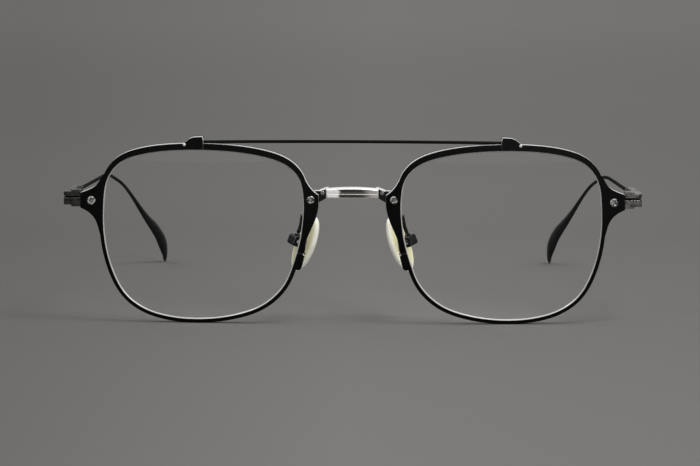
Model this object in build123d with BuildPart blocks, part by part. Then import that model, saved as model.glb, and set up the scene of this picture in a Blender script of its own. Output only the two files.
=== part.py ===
from build123d import *
import math
import os

# Double bridge glasses: two screwed metal rims, a nose bridge, a thin top bar and folding temples.
# X runs to the wearer's left, Y from the front towards the wearer, and Z up from the table.
# The left-hand pieces are modelled, and the right-hand ones are their mirror images.

os.makedirs("parts", exist_ok=True)

# Whole frame
total_width = 142.9
front_tilt = 6.0
front_wrap = 3.0
face_radius = 130.0
overrun = 12.0

# Rims
opening_height = 42.5
nose_distance = 23.6
end_reach = 4.2
rim_width = 0.98
brow_width = 1.5
rim_depth = 1.9

# Lenses
lens_thickness = 1.2
lens_tongue = 0.45
lens_play = 0.04

# Flared plate of the rim at the temple side
flare_reach = 5.75
flare_height = 3.7
flare_rise_share = 0.3765

# Closing block of the rim
lock_lean = 14.0
lock_width = 2.2
lock_length = 4.25
lock_root_width = 1.6
lock_root_length = 2.6
lock_depth = 3.5
lock_split = 0.12
lock_notch = 0.4
lock_corner = 0.8
lock_screw_depth = 2.65
lock_head_radius = 0.72
lock_head_height = 0.6
lock_thread = 2.0

# Screws
screw_radius = 0.5
screw_play = 0.03
front_head_radius = 1.02
nose_head_radius = 0.93
front_head_height = 0.5
front_head_dome = 0.2
head_gap = 0.15
head_recess = 0.4
socket_radius = 0.62
socket_lobe = 0.17
socket_depth = 0.28
slot_width = 0.22
slot_depth = 0.15

# End pieces and hinges
tongue_thickness = 1.3
tongue_length = 5.2
tongue_height = 3.1
tongue_corner = 0.6
tongue_join = 2.0
end_height = 3.3
end_lift = 0.53
end_front_setback = 0.4
end_corner = 1.3
end_seam = 0.05
root_length = 2.25
root_extra = 0.45
groove_height = 0.55
groove_rise = 0.3
groove_depth = 0.3
hinge_setback = 9.3
hinge_inset = 2.1
barrel_radius = 1.2
barrel_play = 0.08
knuckle_play = 0.04
arm_inner = 1.2
butt_gap = 0.02
hinge_head_radius = 0.85
hinge_head_height = 0.35

# Nose bridge
bridge_height = 2.3
bridge_arch = 0.35
bridge_depth = 1.8
bridge_lift = 1.51
bridge_bevel = 0.3
bridge_line_radius = 0.25
bridge_line_depth = 0.12
bridge_line_rise = 0.1
bridge_step = 0.6
bridge_proud = 0.35
bridge_end_length = 1.60
bridge_end_top = 0.55
bridge_end_drop = 0.95
ear_thickness = 1.2
ear_corner = 0.5
rivet_radius = 0.5
rivet_inset = 0.87
rivet_rise = 0.15
rivet_dome = 0.13
rivet_proud = 0.15

# Top bar and its claws
bar_radius = 0.4
bar_arch = 0.22
bar_lift = 0.25
bar_entry = 0.9
claw_nose_edge = 0.35
claw_length = 4.95
claw_inset = 0.17
claw_crest = 1.42
claw_lip = 0.35
claw_bead = 0.35

# Nose pads
pad_width = 7.0
pad_length = 14.6
pad_thickness = 2.1
pad_edge = 0.9
pad_splay = 38.0
pad_slant = 21.0
pad_inset = 0.7
pad_setback = 9.7
pad_drop = 2.92
box_width = 2.6
box_length = 2.7
box_depth = 2.6
box_wall = 0.35
box_gap = 1.35
box_rise = 0.25
box_corner = 0.8
lug_width = 1.0
lug_length = 1.5
lug_play = 0.1
lug_swing = 0.35
core_length = 6.4
core_width = 3.0
core_thickness = 0.6
core_play = 0.02
pad_pin_radius = 0.3
pad_head_radius = 0.5
pad_head_height = 0.3
arm_radius = 0.5
arm_standoff = 3.4
arm_spread = 0.3
arm_rise = 2.6
arm_bend = 1.2
collar_radius = 0.75
collar_height = 0.45

# Temples and tips
temple_thickness = 1.6
leaf_length = 28.0
wire_radius = 0.45
wire_end = 87.0
wire_drop = 1.2
wire_inset = 0.3
inner_wire_radius = 0.3
inner_wire_play = 0.03
hook_back = 50.0
hook_inward = 13.1
tip_end_height = 0.52
tip_thickness = 1.7
tip_width = 4.2
tip_overhang = 0.75

# Places that follow from the sizes above
half_width = ((total_width - nose_distance) / 2 - flare_reach - end_reach) / 2
half_height = opening_height / 2
flare_rise = flare_rise_share * half_height
bar_rise = half_height + brow_width + bar_lift
claw_foot = half_height + claw_inset
claw_height = bar_rise + claw_crest
eye_x = nose_distance / 2 + half_width
mean_radius = (half_width + half_height) / 2
dish = face_radius - math.sqrt(face_radius**2 - mean_radius**2)
tilt = math.radians(front_tilt)
wrap = math.radians(front_wrap)
claw_forward = claw_height * math.sin(tilt) + claw_lip
front_y = -(wire_end + hook_back + tip_overhang - claw_forward) / 2
lowest_v = half_height + rim_width
lowest_w = dish - face_radius + math.sqrt(face_radius**2 - lowest_v**2)
eye_z = lowest_v * math.cos(tilt) + lowest_w * math.sin(tilt)

# The eye plane lies in the front of the left rim: x outwards, y up, z out to the front.
out_dir = Vector(math.cos(wrap), math.sin(wrap), 0)
face_dir = Vector(math.sin(wrap) * math.cos(tilt), -math.cos(wrap) * math.cos(tilt), -math.sin(tilt))
eye_plane = Plane(origin=(eye_x, front_y, eye_z), x_dir=out_dir, z_dir=face_dir)
ball_centre = eye_plane.origin - face_dir * (face_radius - dish)

# Outlines, as shares of the opening's half width and half height. The opening runs from the nose
# side over the top.
opening_shares = [
    (-0.976, 0.018), (-1.0, 0.3), (-0.995, 0.47), (-0.956, 0.66), (-0.827, 0.821), (-0.648, 0.908),
    (-0.314, 0.979), (-0.018, 1.0), (0.286, 0.991), (0.636, 0.927), (0.819, 0.835), (0.944, 0.657),
    (0.992, 0.37), (0.994, 0.004), (0.928, -0.398), (0.761, -0.756), (0.622, -0.875), (0.306, -0.984),
    (0.078, -1.0), (-0.294, -0.953), (-0.592, -0.826), (-0.823, -0.549), (-0.887, -0.368),
    (-0.938, -0.18),
]
flare_top_shares = [(0.932, 0.742), (0.994, 0.684), (1.028, 0.62), (1.066, 0.562), (1.149, 0.503)]
flare_bottom_shares = [(1.175, 0.262), (1.107, 0.203), (1.072, 0.14), (1.045, 0.042), (1.002, -0.098)]
nose_top_shares = [(-0.89, 0.792), (-0.998, 0.677), (-1.038, 0.592), (-1.088, 0.515), (-1.141, 0.461)]
nose_side_shares = [
    (-1.141, 0.461), (-1.145, 0.409), (-1.125, 0.233), (-1.089, 0.118), (-1.044, 0.0),
    (-1.016, -0.11), (-1.006, -0.19), (-0.93, -0.22),
]
ear_shares = [
    (-1.014, 0.345), (-1.014, 0.465), (-1.062, 0.498), (-1.163, 0.498), (-1.175, 0.39), (-1.094, 0.33),
]
nose_tip_shares = (-1.145, 0.409)
lock_shares = (-0.963, -0.213)
end_screw_shares = (1.116, 0.383)
nose_screw_shares = (-1.066, 0.415)
arm_root_shares = (-1.022, 0.215)
claw_top_shares = [(0.05, 1), (0.5, 0.95), (0.69, 0.82), (0.87, 0.58), (1, 0.36)]
claw_shoulder_share = 0.72


def spot(shares):
    """Point of the eye plane for shares of the opening's half sizes."""
    return (shares[0] * half_width, shares[1] * half_height)


def face_height(u, v):
    """Height of the domed front face over the eye plane."""
    return dish - face_radius + math.sqrt(face_radius**2 - u**2 - v**2)


def face_point(u, v, depth=0):
    """Point at a depth below the domed front face, measured square to the eye plane."""
    return eye_plane.from_local_coords(Vector(u, v, face_height(u, v) - depth))


def grown_outline(side_grow, top_grow):
    """Points of the opening's outline moved outwards, and moved more where it faces up."""
    points = [Vector(*spot(shares)) for shares in opening_shares]
    grown = []
    for index, point in enumerate(points):
        along = (points[(index + 1) % len(points)] - points[index - 1]).normalized()
        normal = Vector(-along.Y, along.X)
        grow = side_grow + (top_grow - side_grow) * max(0, normal.Y)
        grown.append(point + normal * grow)
    return grown


def seat_plane(shares, depth=0):
    """Plane square to the domed front at a place, sunk below the face by a depth."""
    on_face = face_point(*spot(shares))
    outwards = (on_face - ball_centre).normalized()
    return Plane(origin=on_face - outwards * depth, x_dir=out_dir, z_dir=outwards)


def keep_layer(front_depth, back_depth):
    """Cut the part being built down to a shell between two depths below the domed face."""
    with Locations(ball_centre):
        Sphere(face_radius - front_depth, mode=Mode.INTERSECT)
        Sphere(face_radius - back_depth, mode=Mode.SUBTRACT)


def outline_layer(points, front_depth, back_depth):
    """Domed plate inside a smooth closed outline, between two depths."""
    with BuildPart() as plate:
        with BuildSketch(eye_plane):
            with BuildLine():
                Spline(*points, periodic=True)
            make_face()
        extrude(amount=overrun, both=True)
        keep_layer(front_depth, back_depth)
    return plate.part


def round_bar(plane, radius, start, end, mode=Mode.ADD):
    """Round bar along a plane's normal from one height to another."""
    with BuildSketch(plane.offset(start)) as section:
        Circle(radius)
    extrude(section.sketch, amount=end - start, mode=mode)


def star_socket(plane):
    """Six-lobed driver socket sunk into a screw head whose top lies in the plane."""
    with BuildSketch(plane) as star:
        Circle(socket_radius - socket_lobe)
        with PolarLocations(socket_radius - socket_lobe, 6):
            Circle(socket_lobe)
    extrude(star.sketch, amount=-socket_depth, mode=Mode.SUBTRACT)


def head_slot(plane, head_radius):
    """Straight driver slot across a screw head whose top lies in the plane."""
    with BuildSketch(plane) as slot:
        Rectangle(2 * head_radius, slot_width)
    extrude(slot.sketch, amount=-slot_depth, mode=Mode.SUBTRACT)


def write(name, piece):
    """Label a finished piece and write it as its own file."""
    piece.label = name
    export_step(piece, f"parts/{name}.step")


def write_pair(name, piece):
    """Write a left piece and its mirror image for the right side."""
    write(f"{name}_left", piece)
    with BuildPart() as other_side:
        mirror(piece, about=Plane.YZ)
    write(f"{name}_right", other_side.part)


def bar_between(radius):
    """Round bar that arches from claw to claw."""
    left_end = face_point(bar_entry - claw_nose_edge, bar_rise, rim_depth / 2)
    with BuildPart() as bar:
        with BuildLine() as route:
            ThreePointArc(
                (-left_end.X, left_end.Y, left_end.Z), (0, left_end.Y, left_end.Z + bar_arch), left_end
            )
        with BuildSketch(Plane(origin=route.line @ 0, z_dir=route.line % 0)):
            Circle(radius)
        sweep()
    return bar.part


# Rim: a domed ring with a flared plate, a broad nose strip and a split closing block
flare_end = half_width + flare_reach
lock_place = Location((*spot(lock_shares), 0), (0, 0, lock_lean))
lock_seat = seat_plane(lock_shares, lock_screw_depth)
lean = math.radians(lock_lean)
lean_dir = eye_plane.y_dir * math.cos(lean) - eye_plane.x_dir * math.sin(lean)
lock_up = (lean_dir - lock_seat.z_dir * lean_dir.dot(lock_seat.z_dir)).normalized()
lock_axis = Plane(origin=lock_seat.origin, x_dir=lock_seat.z_dir, z_dir=lock_up)
opening_layer = outline_layer(grown_outline(0, 0), -overrun, overrun)
groove_front = (rim_depth - lens_thickness) / 2
groove_grow = lens_tongue + lens_play
groove_layer = outline_layer(
    grown_outline(groove_grow, groove_grow), groove_front - lens_play, rim_depth - groove_front + lens_play
)

with BuildPart() as ring:
    with BuildSketch(eye_plane):
        with BuildLine():
            Spline(*grown_outline(rim_width, brow_width), periodic=True)
        make_face()
        with BuildLine():
            upper = Spline(*[spot(s) for s in flare_top_shares], (flare_end, flare_rise + flare_height / 2))
            cut = Line(upper @ 1, (flare_end, flare_rise - flare_height / 2))
            lower = Spline(cut @ 1, *[spot(s) for s in flare_bottom_shares])
            Line(lower @ 1, upper @ 0)
        make_face()
        with BuildLine():
            brow = Spline(*[spot(s) for s in nose_top_shares])
            side = Spline(*[spot(s) for s in nose_side_shares])
            Line(side @ 1, brow @ 0)
        make_face()
    extrude(amount=overrun, both=True)
    keep_layer(0, rim_depth)

with BuildPart() as lock_barrel:
    with BuildSketch(eye_plane):
        with Locations(lock_place):
            Rectangle(lock_width, lock_length, align=(Align.CENTER, Align.MAX))
        fillet(vertices().group_by(Axis.Y)[0], lock_corner)
    extrude(amount=overrun, both=True)
    keep_layer(0, lock_depth)

with BuildPart() as lock_root:
    with BuildSketch(eye_plane):
        with Locations(lock_place):
            Rectangle(lock_root_width, lock_root_length, align=(Align.CENTER, Align.MIN))
    extrude(amount=overrun, both=True)
    keep_layer(rim_depth / 2, lock_depth)

with BuildPart() as rim:
    add(ring.part)
    add(lock_barrel.part)
    add(lock_root.part)
    add(opening_layer, mode=Mode.SUBTRACT)
    add(groove_layer, mode=Mode.SUBTRACT)
    with BuildSketch(eye_plane):
        with Locations(lock_place):
            Rectangle(2 * lock_width, lock_split)
            with Locations((-lock_width / 2, 0)):
                Circle(lock_notch)
    extrude(amount=overrun, both=True, mode=Mode.SUBTRACT)
    round_bar(lock_axis, screw_radius + screw_play, -lock_length - lock_width, lock_thread, Mode.SUBTRACT)
    round_bar(
        lock_axis, lock_head_radius + screw_play, -lock_length - lock_width,
        lock_head_height - lock_length, Mode.SUBTRACT,
    )
    for shares, head in ((end_screw_shares, front_head_radius), (nose_screw_shares, nose_head_radius)):
        seat = seat_plane(shares)
        round_bar(seat, head + head_gap, -head_recess, overrun, Mode.SUBTRACT)
        round_bar(seat, screw_radius + screw_play, -overrun, overrun, Mode.SUBTRACT)
    add(bar_between(bar_radius + core_play), mode=Mode.SUBTRACT)
write_pair("rim", rim.part)

# Lens: a domed disc whose edge lies in the rim's groove
lens = outline_layer(grown_outline(lens_tongue, lens_tongue), groove_front, rim_depth - groove_front)
write_pair("lens", lens)


def front_screw(shares, head_radius):
    """Screw through the rim, with its head in the recess of the rim's face."""
    seat = seat_plane(shares)
    head_top = front_head_height - head_recess
    with BuildPart() as screw:
        round_bar(seat, head_radius, -head_recess, head_top)
        fillet(faces().sort_by(Axis(seat.origin, seat.z_dir))[-1].edges(), front_head_dome)
        star_socket(seat.offset(head_top))
        round_bar(seat, screw_radius, -rim_depth - tongue_thickness, -head_recess)
    return screw.part


write_pair("end_piece_screw", front_screw(end_screw_shares, front_head_radius))
write_pair("bridge_screw", front_screw(nose_screw_shares, nose_head_radius))

with BuildPart() as lock_screw:
    round_bar(lock_axis, lock_head_radius, -lock_length + slot_depth, lock_head_height - lock_length)
    head_slot(lock_axis.offset(-lock_length + slot_depth), -lock_head_radius)
    round_bar(lock_axis, screw_radius, lock_head_height - lock_length, lock_thread - screw_play)
write_pair("rim_lock_screw", lock_screw.part)

# End piece: a tongue behind the flare, a grooved bar that turns back, and two hinge knuckles
outer_x = total_width / 2
hinge_x = outer_x - hinge_inset
hinge_y = front_y + hinge_setback
clear = barrel_radius + barrel_play
flare_tip = face_point(flare_end, flare_rise)
end_inner_x = flare_tip.X + end_seam
end_front_y = flare_tip.Y + end_front_setback
tongue_back_y = flare_tip.Y + rim_depth + tongue_thickness
end_centre_z = flare_tip.Z + end_lift
end_plane = Plane(origin=(0, 0, end_centre_z))
knuckle_height = (end_height - 2 * knuckle_play) / 3
hinge_plane = Plane(origin=(hinge_x, hinge_y, end_centre_z - end_height / 2))
hinge_top = end_height

with BuildPart() as tongue:
    with BuildSketch(eye_plane):
        with Locations((flare_end + tongue_join, flare_rise)):
            RectangleRounded(
                tongue_length + tongue_join, tongue_height, tongue_corner, align=(Align.MAX, Align.CENTER)
            )
    extrude(amount=overrun, both=True)
    keep_layer(rim_depth, rim_depth + tongue_thickness)

with BuildPart() as end_piece:
    with BuildSketch(end_plane):
        with BuildLine():
            Polyline(
                (end_inner_x, end_front_y), (outer_x, end_front_y), (outer_x, hinge_y),
                (hinge_x + clear, hinge_y), (hinge_x + clear, hinge_y - clear),
                (hinge_x - arm_inner, hinge_y - clear), (hinge_x - arm_inner, tongue_back_y),
                (end_inner_x, tongue_back_y), close=True,
            )
        make_face()
        fillet(vertices().sort_by(Axis.Y)[:2].sort_by(Axis.X)[-1], end_corner)
    extrude(amount=end_height / 2, both=True)
    with BuildSketch(end_plane):
        with Locations((end_inner_x, end_front_y)):
            Rectangle(root_length, tongue_back_y - end_front_y, align=(Align.MIN, Align.MIN))
    extrude(amount=end_height / 2 + root_extra, both=True)
    with BuildSketch(end_plane.offset(groove_rise)):
        with Locations((end_inner_x, end_front_y)):
            Rectangle(outer_x, groove_depth, align=(Align.MIN, Align.MIN))
        with Locations((outer_x, end_front_y)):
            Rectangle(groove_depth, outer_x, align=(Align.MAX, Align.MIN))
    extrude(amount=groove_height / 2, both=True, mode=Mode.SUBTRACT)
    add(tongue.part)
    for base in (0, 2 * (knuckle_height + knuckle_play)):
        round_bar(hinge_plane, barrel_radius, base, base + knuckle_height)
        with BuildSketch(hinge_plane.offset(base)):
            Rectangle(clear + end_seam, clear + end_seam, align=(Align.MIN, Align.MAX))
        extrude(amount=knuckle_height)
    round_bar(hinge_plane, screw_radius + screw_play, -overrun, overrun, Mode.SUBTRACT)
    round_bar(
        hinge_plane, hinge_head_radius + screw_play, hinge_top - hinge_head_height, overrun, Mode.SUBTRACT
    )
    seat = seat_plane(end_screw_shares)
    round_bar(seat, screw_radius + screw_play, -overrun, overrun, Mode.SUBTRACT)
write_pair("end_piece", end_piece.part)

with BuildPart() as hinge_screw:
    round_bar(hinge_plane, hinge_head_radius, hinge_top - hinge_head_height, hinge_top)
    head_slot(hinge_plane.offset(hinge_top), hinge_head_radius)
    round_bar(hinge_plane, screw_radius, 0, hinge_top - hinge_head_height)
write_pair("hinge_screw", hinge_screw.part)

# Bridge: a bright bar with stepped-back ends and an ear behind each rim
nose_tip = face_point(*spot(nose_tip_shares))
nose_tip_back = face_point(*spot(nose_tip_shares), rim_depth + ear_thickness)
bridge_plane = Plane(
    origin=(0, nose_tip.Y - bridge_proud, nose_tip.Z + bridge_lift),
    x_dir=(1, 0, 0), z_dir=(0, -math.cos(tilt), -math.sin(tilt)),
)
bridge_reach = nose_tip_back.X - end_seam
bridge_half = bridge_reach - bridge_end_length
bridge_width = 2 * bridge_half
rivet_x = bridge_half + rivet_inset
ear_back = bridge_plane.to_local_coords(nose_tip_back).Z

with BuildPart() as ear:
    with BuildSketch(eye_plane):
        with BuildLine():
            Polyline(*[spot(s) for s in ear_shares], close=True)
        make_face()
        fillet(vertices(), ear_corner)
    extrude(amount=overrun, both=True)
    keep_layer(rim_depth, rim_depth + ear_thickness)

with BuildPart() as bridge:
    with BuildSketch(bridge_plane):
        with BuildLine():
            Polyline(
                (-bridge_half, bridge_height / 2), (-bridge_half, -bridge_height / 2),
                (bridge_half, -bridge_height / 2), (bridge_half, bridge_height / 2),
            )
            ThreePointArc(
                (-bridge_half, bridge_height / 2), (0, bridge_height / 2 + bridge_arch),
                (bridge_half, bridge_height / 2),
            )
        make_face()
    extrude(amount=-bridge_depth)
    chamfer(faces().sort_by(Axis.Y)[0].edges(), bridge_bevel)
    line_spot = Vector(0, bridge_line_rise, bridge_line_radius - bridge_line_depth)
    line_axis = Plane(origin=bridge_plane.from_local_coords(line_spot), z_dir=(1, 0, 0))
    round_bar(line_axis, bridge_line_radius, -bridge_width, bridge_width, Mode.SUBTRACT)
    with BuildSketch(bridge_plane.offset(-bridge_step)):
        with BuildLine():
            Polyline(
                (0, bridge_height / 2), (bridge_half, bridge_height / 2), (bridge_reach, bridge_end_top),
                (bridge_reach, -bridge_height / 2 - bridge_end_drop), (bridge_half, -bridge_height / 2),
                (0, -bridge_height / 2), close=True,
            )
        make_face()
        mirror(about=Plane.YZ)
    extrude(amount=ear_back + bridge_step)
    with BuildSketch(bridge_plane.offset(ear_back)):
        Rectangle(bridge_width - 2 * bridge_step, 2 * bridge_height)
    extrude(amount=-ear_back - bridge_depth, mode=Mode.SUBTRACT)
    add(ear.part)
    mirror(ear.part, about=Plane.YZ)
    for side in (1, -1):
        seat = seat_plane(nose_screw_shares)
        seat_origin = (side * seat.origin.X, seat.origin.Y, seat.origin.Z)
        seat_normal = (side * seat.z_dir.X, seat.z_dir.Y, seat.z_dir.Z)
        hole_plane = Plane(origin=seat_origin, z_dir=seat_normal)
        round_bar(hole_plane, screw_radius + screw_play, -overrun, 0, Mode.SUBTRACT)
        rivet_origin = bridge_plane.from_local_coords(Vector(side * rivet_x, rivet_rise))
        rivet_plane = Plane(origin=rivet_origin, z_dir=bridge_plane.z_dir)
        round_bar(rivet_plane, rivet_radius + core_play, -overrun, 0, Mode.SUBTRACT)
write("bridge", bridge.part)

with BuildPart() as rivet:
    rivet_origin = bridge_plane.from_local_coords(Vector(rivet_x, rivet_rise))
    rivet_plane = Plane(origin=rivet_origin, z_dir=bridge_plane.z_dir)
    round_bar(rivet_plane, rivet_radius, ear_back, rivet_proud - bridge_step)
    fillet(faces().sort_by(Axis.Y)[0].edges(), rivet_dome)
write_pair("bridge_rivet", rivet.part)


# Top bar, and the claw on each rim that holds its end
write("top_bar", bar_between(bar_radius))

with BuildPart() as claw:
    toe_u = claw_length - claw_nose_edge
    claw_rise = claw_height - claw_foot
    claw_tops = [
        (along * claw_length - claw_nose_edge, claw_foot + up * claw_rise) for along, up in claw_top_shares
    ]
    with BuildSketch(eye_plane):
        with BuildLine():
            Polyline(
                (toe_u, claw_foot), (-claw_nose_edge, claw_foot),
                (-claw_nose_edge, claw_foot + claw_shoulder_share * claw_rise), *claw_tops, close=True,
            )
        make_face()
    extrude(amount=overrun, both=True)
    keep_layer(-claw_lip, rim_depth)
    with Locations(face_point(toe_u - claw_bead, claw_tops[-1][1], -claw_lip / 2)):
        Sphere(claw_bead)
    add(ring.part, mode=Mode.SUBTRACT)
    add(bar_between(bar_radius + core_play), mode=Mode.SUBTRACT)
write_pair("top_bar_claw", claw.part)

# Nose pads: each rocks on a screw through the box at the end of its arm
splay = math.radians(pad_splay)
slant = math.radians(pad_slant)
pad_up = Vector(-math.sin(slant), 0, math.cos(slant))
skin_dir = Vector(-math.cos(splay), math.sin(splay), 0)
skin_dir = (skin_dir - pad_up * skin_dir.dot(pad_up)).normalized()
pad_plane = Plane(
    origin=(nose_distance / 2 + pad_inset, front_y + pad_setback, eye_z - pad_drop),
    x_dir=pad_up.cross(skin_dir), z_dir=skin_dir,
)
pin_drop = box_gap + box_depth / 2
pin_plane = Plane(
    origin=pad_plane.from_local_coords(Vector(0, box_rise, -pin_drop)), x_dir=pad_up, z_dir=pad_plane.x_dir
)
core_base = (pad_thickness - core_thickness) / 2


def pad_core_solid(play):
    """Metal insert of a pad: a thin oval plate with a lug that reaches back to the screw."""
    with BuildPart() as core:
        with BuildSketch(pad_plane.offset(core_base - play)):
            Ellipse(core_width / 2 + play, core_length / 2 + play)
        extrude(amount=core_thickness + 2 * play)
        with BuildSketch(pad_plane.offset(-pin_drop)):
            with Locations((0, box_rise)):
                Rectangle(lug_width + 2 * play, lug_length + 2 * play)
        extrude(amount=pin_drop + core_base)
        round_bar(pin_plane, lug_length / 2, -lug_width / 2 - play, lug_width / 2 + play)
    return core.part


with BuildPart() as pad_core:
    add(pad_core_solid(0))
    round_bar(pin_plane, pad_pin_radius + screw_play, -overrun, overrun, Mode.SUBTRACT)
write_pair("pad_core", pad_core.part)

with BuildPart() as nose_pad:
    with BuildSketch(pad_plane):
        Ellipse(pad_width / 2, pad_length / 2)
    extrude(amount=pad_thickness)
    fillet(edges(), pad_edge)
    add(pad_core_solid(core_play), mode=Mode.SUBTRACT)
write_pair("nose_pad", nose_pad.part)

with BuildPart() as pad_box:
    with BuildSketch(pad_plane.offset(-box_gap)):
        with Locations((0, box_rise)):
            Rectangle(box_width, box_length)
    extrude(amount=-box_depth)
    box_back = faces().sort_by(Axis(pad_plane.origin, pad_plane.z_dir))[0]
    fillet(box_back.edges().filter_by(Axis(pad_plane.origin, pad_plane.x_dir)), box_corner)
    with BuildSketch(pad_plane.offset(-box_gap)):
        with Locations((0, box_rise)):
            Rectangle(lug_width + 2 * lug_play, lug_length + 2 * lug_swing)
    extrude(amount=box_wall - box_depth, mode=Mode.SUBTRACT)
    round_bar(pin_plane, pad_pin_radius + screw_play, -overrun, overrun, Mode.SUBTRACT)
write_pair("pad_box", pad_box.part)

with BuildPart() as pad_screw:
    round_bar(pin_plane, pad_pin_radius, -box_width / 2, box_width / 2)
    round_bar(pin_plane, pad_head_radius, box_width / 2, box_width / 2 + pad_head_height)
    head_slot(pin_plane.offset(box_width / 2 + pad_head_height), pad_head_radius)
write_pair("pad_screw", pad_screw.part)

with BuildPart() as pad_arm:
    root_seat = seat_plane(arm_root_shares)
    arm_knee = root_seat.origin - root_seat.z_dir * (rim_depth + arm_standoff) + out_dir * arm_spread
    box_top = pad_plane.from_local_coords(Vector(0, box_rise + box_length / 2, -pin_drop))
    with BuildLine() as arm_route:
        FilletPolyline(root_seat.origin, arm_knee, box_top + pad_up * arm_rise, box_top, radius=arm_bend)
    with BuildSketch(Plane(origin=arm_route.line @ 0, z_dir=arm_route.line % 0)):
        Circle(arm_radius)
    sweep()
    with Locations(ball_centre):
        Sphere(face_radius - rim_depth, mode=Mode.INTERSECT)
    round_bar(Plane(origin=box_top, z_dir=pad_up), collar_radius, 0, collar_height)
write_pair("pad_arm", pad_arm.part)

# Temple: a knuckle, a tall leaf at the front, a round wire, and a thinner wire inside the tip
wire_x = outer_x - wire_inset
leaf_start_y = hinge_y + clear
wire_y = front_y + wire_end
wire_height = end_centre_z - wire_drop
wire_dir = Vector(0, wire_y - leaf_start_y, wire_height - end_centre_z).normalized()
leaf_shares = [(0, 1, 1), (0.3, 0.94, 0.96), (0.62, 0.8, 0.84), (0.86, 0.4, 0.36), (1, 0, 0)]
leaf_corner_shares = [0.56, 0.58, 0.64, 0.8, 0.96]
hook_shares = [
    (0, 0, 0), (0.08, 0.01, 0.004), (0.214, 0.063, 0.018), (0.334, 0.15, 0.068), (0.454, 0.257, 0.14),
    (0.614, 0.452, 0.318), (0.774, 0.705, 0.55), (0.914, 0.953, 0.785), (0.985, 1, 0.96), (1, 0.985, 1),
]
wire_shares = [0, 0.05, 0.1, 0.15, 0.2, 0.25, 0.3, 0.35, 0.4, 0.45]
core_shares = [0.45, 0.5, 0.55, 0.6, 0.65, 0.7, 0.75, 0.8]
tip_shares = [
    (0.45, 0.24, 0.59), (0.5, 0.257, 0.61), (0.55, 0.31, 0.65), (0.6, 0.39, 0.7), (0.65, 0.49, 0.75),
    (0.7, 0.61, 0.81), (0.75, 0.74, 0.87), (0.8, 0.87, 0.93), (0.85, 0.96, 0.98), (0.9, 1, 1),
    (0.945, 0.92, 0.95), (0.98, 0.66, 0.74), (1, 0.36, 0.42),
]

with BuildLine() as hook:
    Spline(
        *[
            (
                wire_x - inward * hook_inward,
                wire_y + back * hook_back,
                wire_height - drop * (wire_height - tip_end_height),
            )
            for back, inward, drop in hook_shares
        ],
        tangents=[wire_dir, (0, hook_inward / hook_back, -1)],
    )


def station_plane(along):
    """Plane across the hook at a share of its length, with y along the blade's width."""
    heading = hook.line % along
    return Plane(origin=hook.line @ along, x_dir=Vector(0, 0, 1).cross(heading), z_dir=heading)


def hook_wire(shares, radius):
    """Round wire along the hook, through sections at shares of its length."""
    with BuildPart() as wire:
        for along in shares:
            with BuildSketch(station_plane(along)):
                Circle(radius)
        loft()
    return wire.part


with BuildPart() as temple:
    low = knuckle_height + knuckle_play
    round_bar(hinge_plane, barrel_radius, low, low + knuckle_height)
    with BuildSketch(hinge_plane.offset(low)):
        Rectangle(clear + end_seam, clear + end_seam, align=(Align.MIN, Align.MIN))
    extrude(amount=knuckle_height)
    with BuildSketch(end_plane):
        with Locations((hinge_x + clear, hinge_y + butt_gap)):
            Rectangle(hinge_inset - clear, clear, align=(Align.MIN, Align.MIN))
    extrude(amount=end_height / 2, both=True)
    wire_size = 2 * wire_radius
    for (along, thick, tall), corner in zip(leaf_shares, leaf_corner_shares):
        leaf_y = leaf_start_y + along * leaf_length
        fall = (leaf_y - leaf_start_y) / (wire_y - leaf_start_y) * (end_centre_z - wire_height)
        thickness = wire_size + thick * (temple_thickness - wire_size)
        height = wire_size + tall * (end_height - wire_size)
        leaf_x = outer_x - temple_thickness / 2 + along * (wire_x - outer_x + temple_thickness / 2)
        leaf_spot = (leaf_x, leaf_y, end_centre_z - fall)
        section_plane = Plane(origin=leaf_spot, x_dir=(-1, 0, 0), z_dir=(0, 1, 0))
        with BuildSketch(section_plane):
            RectangleRounded(thickness, height, corner * wire_radius)
    loft()
    with BuildLine() as wire_route:
        Line((wire_x, leaf_start_y + leaf_length, end_centre_z - fall), (wire_x, wire_y, wire_height))
    with BuildSketch(Plane(origin=wire_route.line @ 0, x_dir=(-1, 0, 0), z_dir=wire_dir)):
        Circle(wire_radius)
    sweep()
    add(hook_wire(wire_shares, wire_radius))
    add(hook_wire(core_shares, inner_wire_radius))
    round_bar(hinge_plane, screw_radius + screw_play, -overrun, overrun, Mode.SUBTRACT)
write_pair("temple", temple.part)

with BuildPart() as temple_tip:
    for along, wide, thick in tip_shares:
        with BuildSketch(station_plane(along)):
            Ellipse(thick * tip_thickness / 2, wide * tip_width / 2)
    loft()
    add(hook_wire(core_shares, inner_wire_radius + inner_wire_play), mode=Mode.SUBTRACT)
write_pair("temple_tip", temple_tip.part)
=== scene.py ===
"""Looks of the double bridge glasses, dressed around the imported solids."""

import logging
import math
from dataclasses import dataclass, field
from enum import Enum

import bmesh
import bpy
from mathutils import Matrix, Vector


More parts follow.
